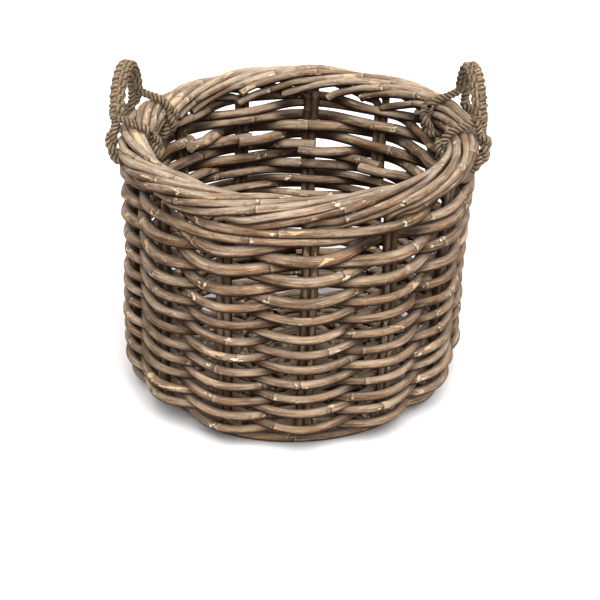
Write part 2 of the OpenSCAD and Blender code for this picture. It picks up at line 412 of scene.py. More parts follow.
def make_cane_group():
    """Old unpeeled cane: streaks, scars at the nodes, peeled patches, chips and dirt, with painted
    shade below and between the canes.
    """
    group = bpy.data.node_groups.new("Old cane", "ShaderNodeTree")
    group_socket(group, "Cane", "NodeSocketVector")
    group_socket(group, "Facing", "NodeSocketVector")
    group_socket(group, "Node Gap", "NodeSocketFloat")
    group_socket(group, "Tone", "NodeSocketFloat")
    group_socket(group, "Sawn", "NodeSocketFloat")
    # How much painted shade falls in the crevices between the canes.
    group_socket(group, "Crevice Shade", "NodeSocketFloat", value=0.0)
    group_socket(group, "Bark", "NodeSocketColor", value=(0.19, 0.13, 0.085, 1))
    group_socket(group, "Bleached", "NodeSocketColor", value=(0.42, 0.34, 0.26, 1))
    group_socket(group, "Peeled", "NodeSocketColor", value=(0.50, 0.33, 0.18, 1))
    group_socket(group, "Wear", "NodeSocketFloat", value=0.5)
    group_socket(group, "Color", "NodeSocketColor", "OUTPUT")
    group_socket(group, "Roughness", "NodeSocketFloat", "OUTPUT")
    group_socket(group, "Height", "NodeSocketFloat", "OUTPUT")
    w = Wiring(group)
    given = w.node("NodeGroupInput").outputs
    cane, gap, tone = given["Cane"], given["Node Gap"], given["Tone"]

    fine = w.noise(w.stretch(cane, (900, 900, 26)), 1.0, 4, 0.65)
    streak = w.noise(w.stretch(cane, (240, 240, 22)), 1.0, 3, 0.6, 0.6)
    cloud = w.noise(w.stretch(cane, (50, 50, 14)), 1.0, 3, 0.55)
    rust = w.noise(w.stretch(cane, (70, 70, 17)), 1.0, 2, 0.5, 0.8)
    patch = w.noise(w.stretch(cane, (72, 72, 17)), 1.0, 3, 0.55, 0.5)
    chip = w.noise(w.stretch(cane, (230, 230, 105)), 1.0, 3, 0.6)

    # Streaks of bark and bleached bark, rust, grain and dirt.
    body = w.math("ADD", w.math("MULTIPLY", streak, 0.5), w.math("MULTIPLY", cloud, 0.5))
    body = w.math("ADD", w.ramp(body, 0.36, 0.64), w.math("MULTIPLY", tone, 0.55), clamp=True)
    colour = w.mix(body, given["Bark"], given["Bleached"])
    rusty = w.ramp(w.math("SUBTRACT", rust, w.math("MULTIPLY", tone, 0.06)), 0.52, 0.66, 0.0, 0.6)
    colour = w.mix(rusty, colour, RUST)
    colour = w.mix(w.ramp(fine, 0.48, 0.34, 0.0, 0.7), colour, GRAIN)
    colour = w.mix(w.ramp(fine, 0.54, 0.66, 0.0, 0.45), colour, DUST)
    dirt = w.noise(w.stretch(cane, (150, 150, 75)), 1.0, 4, 0.65)
    colour = w.mix(w.ramp(dirt, 0.53, 0.66, 0.0, 0.5), colour, DIRT)

    # Peeled patches, each with a dark edge of bark.
    worn = w.math("ADD", patch, w.math("MULTIPLY", given["Wear"], 0.10))
    peeled = w.ramp(worn, 0.71, 0.735)
    colour = w.mix(w.math("MULTIPLY", peeled, 0.85), colour, given["Peeled"])
    edge = w.ramp(w.math("ABSOLUTE", w.math("SUBTRACT", worn, 0.712)), 0.008, 0.0)
    colour = w.mix(w.math("MULTIPLY", edge, 0.6), colour, BARK_EDGE)

    # A ragged scar round every node, pale above and dark below.
    ragged = w.math("ADD", gap, w.math("MULTIPLY", w.math("SUBTRACT", streak, 0.5), 0.004))
    band = w.math("MULTIPLY", w.ramp(ragged, 0.0002, 0.0012), w.ramp(ragged, 0.0055, 0.0020))
    colour = w.mix(w.math("MULTIPLY", band, 0.3), colour, PALE_BAND)
    below = w.math("MULTIPLY", w.ramp(ragged, 0.0, -0.0010), w.ramp(ragged, -0.0160, -0.0020))
    colour = w.mix(w.math("MULTIPLY", below, 0.55), colour, DARK_BAND)
    scar = w.ramp(w.math("ABSOLUTE", ragged), 0.0016, 0.0006)
    colour = w.mix(w.math("MULTIPLY", scar, 0.7), colour, SCAR)

    # Chips down to the wood, mostly at the nodes, and dark specks.
    near_node = w.ramp(w.math("ABSOLUTE", gap), 0.022, 0.003, 0.0, 0.17)
    chipped = w.ramp(w.math("ADD", chip, near_node), 0.745, 0.775)
    colour = w.mix(w.math("MULTIPLY", chipped, 0.9), colour, BARE_WOOD)
    speck = w.noise(w.stretch(cane, (700, 700, 420)), 1.0, 1, 0.5)
    colour = w.mix(w.ramp(speck, 0.68, 0.74, 0.0, 0.8), colour, SPECK)

    # Painted shade: darker on the undersides and in the crevices between the canes. Dusty above.
    upward = w.node("ShaderNodeSeparateXYZ", {0: given["Facing"]}).outputs["Z"]
    shade = w.ramp(upward, 0.22, -0.60, 0.0, 0.93)
    shade = w.math("MAXIMUM", shade, w.math("MULTIPLY", given["Crevice Shade"], 0.85))
    colour = w.mix(shade, colour, SHADE)
    dust = w.math("MULTIPLY", w.ramp(upward, 0.35, 0.95, 0.0, 0.35), cloud)
    colour = w.mix(dust, colour, DUST)

    # The pores of a sawn end.
    pores = w.node(
        "ShaderNodeTexVoronoi", {"Vector": cane, "Scale": 1300.0, "Randomness": 0.8}
    ).outputs["Distance"]
    end_tone = w.mix(w.ramp(cloud, 0.44, 0.56), FRESH_END, GREY_END)
    end_grain = w.mix(w.ramp(pores, 0.32, 0.18), end_tone, PORE)
    colour = w.mix(given["Sawn"], colour, end_grain)

    roughness = w.ramp(w.math("ADD", streak, w.math("MULTIPLY", peeled, 0.2)), 0.3, 0.8, 0.42, 0.70)
    height = w.math("ADD", w.math("MULTIPLY", fine, 0.5), w.math("MULTIPLY", streak, 0.8))
    for mask, depth in ((peeled, -0.35), (chipped, -0.4), (scar, -0.9), (band, 0.3), (speck, 0.3)):
        height = w.math("ADD", height, w.math("MULTIPLY", mask, depth))
    result = w.node("NodeGroupOutput")
    for name, socket in (("Color", colour), ("Roughness", roughness), ("Height", height)):
        group.links.new(socket, result.inputs[name])
    return group


cane_group = make_cane_group()


def cane_material(name, bark, bleached, peeled, wear):
    """Old cane in given colours, with painted shade between the weavers and inside the border."""
    material = bpy.data.materials.new(name)
    material.use_nodes = True
    tree = material.node_tree
    tree.nodes.clear()
    w = Wiring(tree)
    look = w.node("ShaderNodeGroup", node_tree=cane_group)
    coordinates = w.node("ShaderNodeTexCoord").outputs
    at = w.node("ShaderNodeSeparateXYZ", {0: coordinates["Object"]}).outputs
    # Painted shade in the crevices: between the weavers, near the circle of the stakes, and inside the
    # roll of the border.
    over = w.math("SUBTRACT", at["Z"], BORDER_Z)
    upright = w.math("SUBTRACT", at["X"], w.math("MULTIPLY", over, LEAN / BORDER_Z))
    aside = w.math("ABSOLUTE", w.math("SUBTRACT", w.distance(upright, at["Y"]), WALL_R))
    level = w.math("MULTIPLY", w.ramp(at["Z"], 0.02, 0.06), w.ramp(over, -0.018, -0.032))
    shade_between_weavers = w.math("MULTIPLY", w.ramp(aside, 0.011, 0.002), level)
    over = w.math("MAXIMUM", over, w.math("MULTIPLY", over, 1.22))
    shade_in_border = w.ramp(w.distance(aside, over), BORDER_RHO + 0.0034, BORDER_RHO - 0.0022)
    sockets = {
        "Cane": w.attribute("cane", "Vector"),
        "Node Gap": w.attribute("node_gap"),
        "Tone": w.attribute("tone"),
        "Sawn": w.attribute("sawn"),
        "Facing": coordinates["Normal"],
        "Crevice Shade": w.math("MAXIMUM", shade_between_weavers, shade_in_border),
    }
    for key, value in sockets.items():
        tree.links.new(value, look.inputs[key])
    look.inputs["Bark"].default_value = (*bark, 1)
    look.inputs["Bleached"].default_value = (*bleached, 1)
    look.inputs["Peeled"].default_value = (*peeled, 1)
    look.inputs["Wear"].default_value = wear
    bump = w.node(
        "ShaderNodeBump", {"Height": look.outputs["Height"], "Strength": 0.7, "Distance": 0.0008}
    )
    shader = w.node(
        "ShaderNodeBsdfPrincipled",
        {
            "Base Color": look.outputs["Color"],
            "Roughness": look.outputs["Roughness"],
            "Normal": bump.outputs["Normal"],
            "Specular IOR Level": 0.06,
        },
    )
    surface = w.node("ShaderNodeOutputMaterial")
    tree.links.new(shader.outputs[0], surface.inputs["Surface"])
    return material


def finish_piece(piece, material, body, slot, *nodes):
    """Gives a finished piece its material, and ties it to the parts of the model it stands for."""
    piece.data.materials.clear()
    piece.data.materials.append(material)
    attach(piece, body)
    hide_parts(*nodes)


STICK_D = 0.010
STICK_END_R = FLAT_R - 0.008
STICK_PITCH = STICK_D + 0.0015
SLATH_HALF = 2 * STICK_PITCH  # half the square where the two groups cross
SLATH_LEVEL = (STICK_D + GAP) / 2  # how far each group lies above or below the middle
FAN_R = 0.048  # where the sticks have fanned out to their stations
ODD_START_R = FAN_R - 0.008

base_cane = cane_material(
    "Base cane", (0.095, 0.056, 0.030), (0.25, 0.170, 0.105), (0.40, 0.25, 0.13), 0.3
)


def stick_end(u, shift):
    """Stops from where a stick has fanned out to its end."""
    return [
        place(u, FAN_R, 0) + Vector((0, 0, shift / 3)),
        place(u, (FAN_R + STICK_END_R) / 2, 0),
        place(u, STICK_END_R, 0),
    ]


def stick_group(name, near, far, level):
    """Three sticks side by side from three stations to the three across the base."""
    a = (station_angle(near) + station_angle(far) - math.pi) / 2
    along = Vector((math.cos(a), math.sin(a), 0))
    aside = Vector((-math.sin(a), math.cos(a), 0))
    middle = on_circle(0, 0, 0, BASE_Z + BASE_DOME + level)
    sticks = []
    for i in (-1, 0, 1):
        head = stick_end(near + i, level)
        tail = stick_end(far - i, level)
        stops = [
            *reversed(head),
            middle + SLATH_HALF * along + i * STICK_PITCH * aside,
            middle - SLATH_HALF * along + i * STICK_PITCH * aside,
            *tail,
        ]
        sticks.append(lay_cane(name, resample(stops), STICK_D, 0.3 * drift(i, 4)))
    return join(name, sticks)


finish_piece(
    stick_group("sticks_lower", 3, 10, -SLATH_LEVEL),
    base_cane, "basket", "base_rattan", "base_sticks_lower",
)
finish_piece(
    stick_group("sticks_upper", 0, 6, SLATH_LEVEL),
    base_cane, "basket", "base_rattan", "base_sticks_upper",
)
finish_piece(
    lay_cane(
        "stick_odd",
        resample([place(8, s, 0) for s in (ODD_START_R, FAN_R + 0.03, STICK_END_R)]),
        STICK_D,
    ),
    base_cane, "basket", "base_rattan", "base_stick_odd",
)


# ---------------------------------------------------------------- base weave
# Ten canes woven round the base over one stick and under the next. The end of each
# is laid inside the beginning of the next, and both are cut off on the inside.

ROD_SPAN = 14  # stations that one rod passes before the next is laid in
BASE_WEAVER_D = 0.0095
BASE_SWING = (STAKE_D + BASE_WEAVER_D) / 2 + GAP  # a weaver's way in or out at a stick
BASE_SIDE = (STICK_D + STAKE_D) / 2 + GAP  # a stake stands this far aside, beside a stick
WALL_SIDE = (STAKE_D + GAP) / 2  # the same on the wall, beside the other stake
STAKE_TAIL_R = 0.108  # where the stakes are pushed in on the base
FIRST_LEG = {"right": 2.73, "left": 8.73}  # station of the first of a handle's two legs
HANDLE_LEGS = [leg + on for leg in FIRST_LEG.values() for on in (0, 1)]
LEG_ROOM = 0.12  # stations to either side of a leg that its windings take up
LEG_EASE = 0.25
TIGHT_START = 0.052  # first turn of the base weave
FOOT_D = 0.012
FOOT_PITCH = FOOT_D + GAP
FOOT_START = FLAT_R - FOOT_PITCH
BASE_END = FOOT_START - (FOOT_D + BASE_WEAVER_D) / 2 - 2 * GAP

base_turn_count = math.floor((BASE_END - TIGHT_START) / (BASE_WEAVER_D + GAP))
base_turns = [
    TIGHT_START + (BASE_END - TIGHT_START) * t / base_turn_count
    for t in range(base_turn_count + 1)
]


def stake_side(s):
    """How far the stakes stand aside, s along them from the middle of the base."""
    if s < STAKE_TAIL_R - BASE_WEAVER_D:
        return 0.0
    share = min(1.0, max(0.0, (s - STICK_END_R) / (WALL_START - STICK_END_R)))
    return BASE_SIDE + (WALL_SIDE - BASE_SIDE) * share


def plateau(s):
    """Half of the stretch, in stations, over which a weaver lies level at a pair."""
    radius = s if s < FLAT_R else FLAT_R + CORNER_R * math.sin(lean(s))
    return (stake_side(s) + 0.006) * STATIONS / (2 * math.pi * radius)


def turn_at(turns, u):
    """How far along the stakes a running weave has come at station u."""
    t = min(len(turns) - 1.000001, max(0.0, (u - 1) / STATIONS))
    whole = math.floor(t)
    return turns[whole] + (turns[whole + 1] - turns[whole]) * (t - whole)


def last_station(turns):
    """Station where a running weave ends: the last odd one, where the rod is inside."""
    return 1 + 2 * math.floor(STATIONS * (len(turns) - 1) / 2)


def rods_in(turns):
    return round((last_station(turns) - 1) / ROD_SPAN)


def wave(u, swing, flat):
    """In and out past the stakes: +swing at even stations, flatter where the stakes are close."""
    c, s = math.cos(math.pi * u), math.sin(math.pi * u)
    return swing * c / math.hypot(c, (1 - flat) * s)


def by_handle(u):
    """1 at a leg of a handle, 0 from a third of a station away."""
    half = STATIONS / 2
    away = min(abs((u - leg + half) % STATIONS - half) for leg in HANDLE_LEGS)
    return 1 - smoothstep((away - LEG_ROOM) / LEG_EASE)


def running_rod(name, turns, i, d, swing, flat, tone=0.0, loose=0.0, dip=0.0, lift=None):
    """One rod of a running weave; its tail ends inside the head of the next rod."""
    count = rods_in(turns)
    first = 1 + i * ROD_SPAN
    last = last_station(turns) if i == count - 1 else first + ROD_SPAN
    tail = 0.0 if i == count - 1 else d + 2 * GAP
    start = first - plateau(turn_at(turns, first))
    level = plateau(turn_at(turns, last))
    end = last + level + (0.04 if tail else 0.0)
    arc = abs(end - start) * 2 * math.pi * max(0.06, place(0, turn_at(turns, first), 0).xy.length)
    steps = max(40, round(arc / STATIONS / CANE_RING))
    points = []
    for j in range(steps + 1):
        u = start + (end - start) * j / steps
        out = wave(u, swing, flat)
        inside = smoothstep((u - last + 0.85) / (0.80 - level))
        out -= tail * inside
        s = turn_at(turns, u) + loose * drift(u * 0.9, i + 3) - wave(u, dip, flat)
        s += lift(u, s) if lift else 0.0
        points.append(handmade(place(u, s, out + loose * drift(u * 0.7, i + 40))))
    return lay_cane(name, points, d, tone)


base_rods = [
    running_rod("base_weave", base_turns, i, BASE_WEAVER_D, BASE_SWING, 0.5, 0.3 * drift(i, 6))
    for i in range(rods_in(base_turns))
]
finish_piece(join("base_weave", base_rods), base_cane, "basket", "base_rattan", "base_weavers")


# ---------------------------------------------------------------- stakes and border
# Thirteen pairs of stakes pushed in beside the base sticks and bent up into the wall.
# Above the weave each is kinked over and rolled round the rim to make the border.

BORDER_PITCH = 2 * BORDER_STEP  # degrees of the roll from one station to the next
BORDER_SPREAD = 0.0034  # how unevenly the rods lie between the handles
BORDER_SLACK = math.radians(9)
BORDER_HANGS = 0.005  # lower underneath between the handles
BORDER_HANGS_INSIDE = 0.006
BORDER_FLATTER = 0.0042  # and lower on top
ROLL_FROM = 0.25  # station of the first point of the roll, past the pair
ROLL_POINTS = 6  # points of the roll in a station
TAPER = 0.12
POKE_RINGS = 9

# The kink: stations on, then aside, outwards and up in thicknesses of a stake.
KINK_UNDER = 1.67
LEADING_KINK = [(0, 0.52, 0, -KINK_UNDER), (0, 0.58, 0.07, -1.17), (0.12, 0, 0.27, -0.52)]
FOLLOWING_KINK = [
    (0, -0.52, 0, -1.57),
    (0, -0.52, 0.11, -0.82),
    (0, -0.36, 0.57, -0.17),
    (0.04, 0, 0.85, 0.33),
]
KINK_SAG = 0.007  # the kink of the leading stake lies this much further out
KINK_REACH = 0.6

border_cane = cane_material(
    "Border cane", (0.125, 0.072, 0.038), (0.385, 0.296, 0.212), (0.58, 0.40, 0.24), 0.75
)


def border_point(u, across, up, side=0.0):
    """Point at station u, measured from the middle of the border."""
    return on_circle(u, WALL_R + across, side, BORDER_Z + up)


def rolled(k, phase, w, sag):
    """Point on the roll of a stake, w stations from its pair; it lies loose between the handles."""
    a = math.radians(phase + BORDER_PITCH * w)
    rho = BORDER_RHO + sag * max(0.0, 1 - w / KINK_REACH) ** 2
    free = 1 - by_handle(k + w)
    a += BORDER_SLACK * drift(w * 0.8, k + phase + 50) * free
    rho += BORDER_SPREAD * drift(w * 1.1, k + phase) * free
    hangs = BORDER_HANGS + BORDER_HANGS_INSIDE * max(0.0, -math.cos(a))
    under = hangs * max(0.0, -math.sin(a)) * free
    flatter = BORDER_FLATTER * max(0.0, math.sin(a)) * free
    return border_point(k + w, rho * math.cos(a), rho * math.sin(a) - under - flatter)


def poke(points, reach):
    """Turns the last few centimetres of a stake out of the border, where it is cut off."""
    centre = Vector((0, 0, BORDER_Z))
    for i in range(1, POKE_RINGS):
        p = points[-i]
        rim = Vector((p.x, p.y, 0)).normalized() * WALL_R + centre
        points[-i] = p + (p - rim).normalized() * reach * (1 - i / POKE_RINGS) ** 2
    return points


def stake(k, way):
    """A stake from the base up the wall, kinked over and rolled round the border."""
    leading = way > 0
    phase = -90 if leading else BORDER_STEP - 90
    kink = LEADING_KINK if leading else FOLLOWING_KINK
    bend = WALL_START - FLAT_R
    up_wall = [STAKE_TAIL_R, STICK_END_R + 0.002, FLAT_R]
    up_wall += [FLAT_R + bend * part / 4 for part in (1, 2, 3, 4)]
    top = place(k, WALL_START, 0).z
    kink_z = BORDER_Z - BORDER_RHO - KINK_UNDER * STAKE_D
    stops = [place(k, s, 0, way * stake_side(s)) for s in up_wall]
    for part in (1, 2, 3):
        s = WALL_START + (kink_z - top) * part / 4
        stops.append(handmade(place(k, s, 0, way * stake_side(s))))
    stops += [
        handmade(border_point(k + u, out * STAKE_D, up * STAKE_D - BORDER_RHO, side * STAKE_D))
        for u, side, out, up in kink
    ]
    sag = KINK_SAG if leading else 0.0
    if leading:
        ends = 23 + round(2.5 * drift(k * 3.1, 21 + way))
    else:
        ends = 19 + round(2 * drift(k * 2.7, 22))
    roll = [ROLL_FROM + j / ROLL_POINTS for j in range(ends + 1)]
    stops += [handmade(rolled(k, phase, w, sag)) for w in roll[:-1]]
    reach = (0.004 + 0.006 * abs(drift(k * 1.9, 23 + way))) * (1 - by_handle(k + roll[-1]))
    thick = STAKE_D * (1.04 + 0.10 * drift(k * 2.9, 24 + way))
    tone = 0.55 * drift(k * 1.7 + way, 8)
    return lay_cane(f"stake_{k + 1:02}", poke(resample(stops), reach), thick, tone, TAPER)


for k in range(STATIONS):
    pair = join(f"stakes_{k + 1:02}", [stake(k, 1), stake(k, -1)])
    finish_piece(pair, border_cane, "basket", "stake_rattan", f"stake_pair_{k + 1:02}")


# ---------------------------------------------------------------- foot
# Three thicker rods laid round the turn of the base, each outside two pairs of stakes
# and inside the third. The basket stands on them.


def closing_side(near):
    """-1 where a closing rod passes inside a pair, 1 outside, counted from where it starts."""
    inside = near % 3 == 0 and near < STATIONS - 1 or near >= STATIONS
    return -1 if inside else 1


def closing_rod(name, i, s, d, tone=0.0, lift=None):
    """A rod that goes once round, and is cut off inside where it meets its own start."""
    swing = (STAKE_D + d) / 2 + GAP
    level = plateau(s)
    start, end = i - level, i + STATIONS - level - 0.03
    steps = round((end - start) * 2 * math.pi * WALL_R / STATIONS / CANE_RING)
    points = []
    for j in range(steps + 1):
        u = start + (end - start) * j / steps
        near = round(u - i)
        following = near + (1 if u - i > near else -1)
        side = closing_side(near)
        side_next = closing_side(following) if 0 <= following <= STATIONS else side
        away = smoothstep((abs(u - i - near) - level * 0.8) / (1 - 1.6 * level))
        out = swing * (side + (side_next - side) * away)
        points.append(handmade(place(u, s + (lift(u) if lift else 0.0), out)))
    return lay_cane(name, points, d, tone)


for i in range(3):
    tone = -0.1 + 0.2 * drift(i, 9)
    rod = closing_rod(f"foot_{i + 1}", i, FOOT_START + i * FOOT_PITCH, FOOT_D, tone)
    finish_piece(rod, base_cane, "basket", "foot_rattan", f"foot_rod_{i + 1:02}")


# ---------------------------------------------------------------- wall
# Canes woven up the wall in one running weave, over one pair and under the
# next. They are thicker under the border than at the foot.

LOW_D = 0.0112
HIGH_D = 0.0134
THICKER_FROM = 0.68  # share of the weave's height where the thicker canes begin
THICKER_OVER = 0.12
TOP_D = 0.0116
TOP_PITCH = TOP_D + GAP
LEG_TURN = math.pi / STATIONS  # from the hinge of a handle to the way of the border at a leg
WRAP_HALF = 0.007  # half the width of a handle's windings round the border
WRAP_GAP = 0.0005
WRAP_THICK = 0.006
WRAP_IN_R = BORDER_OUT_R / math.cos(LEG_TURN) + WRAP_HALF * math.tan(LEG_TURN) + WRAP_GAP
WRAP_OUT_R = WRAP_IN_R + WRAP_THICK
WEAVER_DIP = 0.0034  # a weaver is pressed down where it passes outside a pair
FOOT_END = FOOT_START + 2 * FOOT_PITCH
FOOT_SWING = (STAKE_D + FOOT_D) / 2 + GAP
INNER_SQUEEZE = CORNER_R / (CORNER_R - FOOT_SWING)  # inside the bend a rod needs more room
WEAVE_START = FOOT_END + (FOOT_D + LOW_D) / 2 * INNER_SQUEEZE + GAP
TOP_END = WALL_START + BORDER_Z - BASE_Z - CORNER_R - WRAP_OUT_R - TOP_D / 2 - 2 * GAP
TOP_START = TOP_END - TOP_PITCH
WEAVE_TOP = TOP_START - (TOP_D + HIGH_D) / 2 - GAP

wall_cane = cane_material(
    "Wall cane", (0.108, 0.058, 0.028), (0.360, 0.259, 0.172), (0.56, 0.39, 0.235), 0.8
)


def weaver_d(s):
    """Thickness of the weaver that lies s along the stakes."""
    share = (s - WEAVE_START) / (WEAVE_TOP - WEAVE_START)
    thicker = min(1.0, max(0.0, (share - THICKER_FROM) / THICKER_OVER))
    return LOW_D + (HIGH_D - LOW_D) * thicker


# Courses laid tight from the foot up, and then spread evenly to the top of the weave.
tight = [WEAVE_START]
while True:
    following = tight[-1] + weaver_d(tight[-1] + LOW_D) + GAP
    if following > WEAVE_TOP:
        break
    tight.append(following)
spread = (WEAVE_TOP - WEAVE_START) / (tight[-1] - WEAVE_START)
wall_turns = [WEAVE_START + (s - WEAVE_START) * spread for s in tight]

PRESSED_UP = 0.0090  # the top of the weave is pressed up to the border between the handles
STEP_SHARE = 0.55  # share of the step at the end of the weave that its last courses take up
PACKED = 1.15  # canes pressed together fill this much more than their pitch
PACKED_HIGH = 0.13  # and the thicker ones, from about the thirteenth, this much more again
PACKED_SPREAD = 0.08
WEAVER_LOOSE = 0.0022
weave_end = last_station(wall_turns)


def step_left(u):
    """Room over the weave past the end of its last cane, from one cane down to nothing."""
    past = (u - weave_end) % STATIONS
    return HIGH_D * (1 - past / STATIONS) * smoothstep(past / 0.9)


def raised(u, s):
    """How far the upper courses are opened out to meet the top rods and the border."""
    return smoothstep((s - 0.38) / 0.14) * (PRESSED_UP * (1 - by_handle(u)) + STEP_SHARE * step_left(u))


def settled(u):
    """How far a top rod is pressed up to the border, or down on the step."""
    return PRESSED_UP * (1 - by_handle(u)) - (1 - STEP_SHARE) * step_left(u)


for i in range(rods_in(wall_turns)):
    d = weaver_d(turn_at(wall_turns, 1 + i * ROD_SPAN))
    packed = PACKED + PACKED_HIGH * smoothstep((i - 13) / 4) + PACKED_SPREAD * drift(i * 2.1, 11)
    dip = WEAVER_DIP if i else 0.0
    swing = (STAKE_D + d) / 2 + GAP
    rod = running_rod(
        f"weaver_{i + 1:02}", wall_turns, i, d * packed, swing, 0.0,
        0.6 * drift(i * 1.9, 12), WEAVER_LOOSE, dip, raised,
    )
    finish_piece(rod, wall_cane, "basket", "weaver_rattan", f"wall_weaver_{i + 1:02}")


# ---------------------------------------------------------------- top rods
# Two rods close the weave under the border. Between the handles they are pressed up
# against it, and they lie down on the step where the weave ends.

TOP_PACKED = 1.22

for i in range(2):
    level = TOP_START + i * TOP_PITCH
    tone = 0.3 * drift(i, 14)
    rod = closing_rod(f"top_{i + 1}", i + 1, level, TOP_D * TOP_PACKED, tone, settled)
    finish_piece(rod, wall_cane, "basket", "weaver_rattan", f"top_rod_{i + 1:02}")


# ---------------------------------------------------------------- handles
# Each handle is a plait of three three-ply seagrass cords. At either leg the plait opens,
# and its cords are wound round the border, two down the outside and one down the inside.
# A thin straw lashing holds the plait together over each leg.

ROPE_D = 0.022
HANDLE_OUT = 0.022  # the loop stands this far outside the middle of the border
ROPE_ACROSS = 0.0060  # swing of a cord across the plait
ROPE_DEEP = 0.0032
PLAIT_PITCH = 0.036
NECK = 0.036  # height over the hinge where the plait opens
CORD_D = 0.0126
CORD_TWIST = 0.019  # one turn of its plies
CORD_TURNS = 46
CORD_SPARE = 0.012  # left uncut at the end of the straight cord
CORD_STEP = 0.0035  # between two points along a cord
PLY_R = CORD_D * 0.27
PLY_OUT = CORD_D * 0.23
PLY_SHADE_FROM = 0.46  # painted shade between the plies: darkest at the core of the cord, and none this far out, in CORD_D
PLY_SHADE_OVER = 0.18
WOUND_R = WRAP_IN_R + 0.0047  # middle of the cords round the border
WOUND_STEPS = 40
INNER_SWEEP = (-4, -215)  # degrees from the top that a cord goes round the border
OUTER_SWEEP = (50, 292)
LASH_D = 0.0022
LASH_TURNS = 3
LASH_STEPS = 16  # points in a turn
LASH_PITCH = 0.0032
LASH_START = 0.041  # height of the first turn over the hinge
LASH_ALONG = 0.0078  # half the size of a turn along the hinge, and across it
LASH_ACROSS = 0.0104
LASH_SLANT = 0.001

# The cord: three plies twisted together, modelled straight.
bpy.ops.mesh.primitive_circle_add(
    vertices=8, radius=PLY_R, fill_type="NOTHING", location=(PLY_OUT, 0, 0)
)
cord = bpy.context.object
cord.name = "straight_cord"
bpy.ops.object.mode_set(mode="EDIT")
for _ in range(2):
    bpy.ops.mesh.duplicate_move(TRANSFORM_OT_translate={"value": (0, 0, 0)})
    bpy.ops.transform.rotate(
        value=math.radians(120), orient_axis="Z", center_override=(0, 0, 0)
    )
bpy.ops.object.mode_set(mode="OBJECT")
bpy.context.view_layer.objects.active = cord
bpy.ops.object.transform_apply(location=True, rotation=False, scale=False)
twist = cord.modifiers.new("twist", "SCREW")
twist.axis = "Z"
twist.angle = 2 * math.pi
twist.screw_offset = CORD_TWIST
twist.iterations = CORD_TURNS
twist.steps = twist.render_steps = 10
twist.use_merge_vertices = False
bpy.ops.object.modifier_apply(modifier="twist")
bpy.ops.object.mode_set(mode="EDIT")
bpy.ops.mesh.select_all(action="SELECT")
bpy.ops.mesh.fill_holes(sides=8)
bpy.ops.mesh.normals_make_consistent(inside=False)
bpy.ops.object.mode_set(mode="OBJECT")
set_attribute(cord.data, "strand", "FLOAT_VECTOR", [x for v in cord.data.vertices for x in v.co])
# Painted shade in the grooves between the plies, kept as an attribute.
out_by = [math.hypot(v.co.x, v.co.y) / CORD_D for v in cord.data.vertices]
set_attribute(cord.data, "ply_shade", "FLOAT", [smoothstep((PLY_SHADE_FROM - r) / PLY_SHADE_OVER) for r in out_by])
cord.select_set(False)


def lay_cord(name, points, d, number):
    """Cuts a length of cord and bends it along the points."""
    piece = copy_straight(cord, name)
    bpy.ops.object.mode_set(mode="EDIT")
    saw(CORD_SPARE, 1)
    saw(CORD_SPARE + length_of(points) * CORD_D / d, -1)
    bpy.ops.mesh.select_all(action="SELECT")
    bpy.ops.transform.translate(value=(0, 0, -CORD_SPARE))
    bpy.ops.transform.resize(value=(d / CORD_D,) * 3, center_override=(0, 0, 0))
    bpy.ops.mesh.normals_make_consistent(inside=False)
    bpy.ops.object.mode_set(mode="OBJECT")
    shift_pattern(piece.data, "strand", Vector((0.31 * number, 0.17 * number, 0.0)))
    piece.select_set(False)
    bend_along(piece, points)
    piece.data.polygons.foreach_set("use_smooth", [True] * len(piece.data.polygons))
    return piece


def make_grass_material(name, dark, pale, dusty):
    """Twisted seagrass: fibres along each ply, pale where rubbed, with painted shade between the plies.
    """
    material = bpy.data.materials.new(name)
    material.use_nodes = True
    tree = material.node_tree
    tree.nodes.clear()
    w = Wiring(tree)
    strand = w.attribute("strand", "Vector")
    place_here = w.node("ShaderNodeTexCoord").outputs["Object"]
    fibre = w.noise(w.stretch(strand, (1500, 1500, 160)), 1.0, 3, 0.6, 0.4)
    tuft = w.noise(place_here, 260.0, 2, 0.6)
    cloud = w.noise(place_here, 45.0, 2, 0.5)
    colour = w.mix(w.ramp(fibre, 0.30, 0.68), (*dark, 1), (*pale, 1))
    colour = w.mix(w.ramp(cloud, 0.40, 0.65, 0.0, 0.6), colour, (*dusty, 1))
    colour = w.mix(w.ramp(tuft, 0.60, 0.72, 0.0, 0.55), colour, (0.62, 0.52, 0.38, 1))
    colour = w.mix(w.ramp(tuft, 0.40, 0.28, 0.0, 0.6), colour, (0.09, 0.06, 0.035, 1))
    # Painted shade between the plies, darkest at the core of the cord.
    colour = w.mix(w.math("MULTIPLY", w.attribute("ply_shade"), 0.92), colour, (0.030, 0.015, 0.007, 1))
    height = w.math("ADD", w.math("MULTIPLY", fibre, 0.7), w.math("MULTIPLY", tuft, 0.6))
    bump = w.node("ShaderNodeBump", {"Height": height, "Strength": 0.8, "Distance": 0.0012})
    roughness = w.ramp(fibre, 0.3, 0.7, 0.72, 0.92)
    shader = w.node(
        "ShaderNodeBsdfPrincipled",
        {
            "Base Color": colour,
            "Roughness": roughness,
            "Normal": bump.outputs["Normal"],
            "Specular IOR Level": 0.1,
        },
    )
    surface = w.node("ShaderNodeOutputMaterial")
    tree.links.new(shader.outputs[0], surface.inputs["Surface"])
    return material


seagrass = make_grass_material(
    "Seagrass plait", (0.070, 0.042, 0.022), (0.42, 0.33, 0.23), (0.20, 0.145, 0.094)
)
straw = make_grass_material(
    "Straw lashing", (0.10, 0.065, 0.035), (0.44, 0.34, 0.22), (0.27, 0.20, 0.13)
)


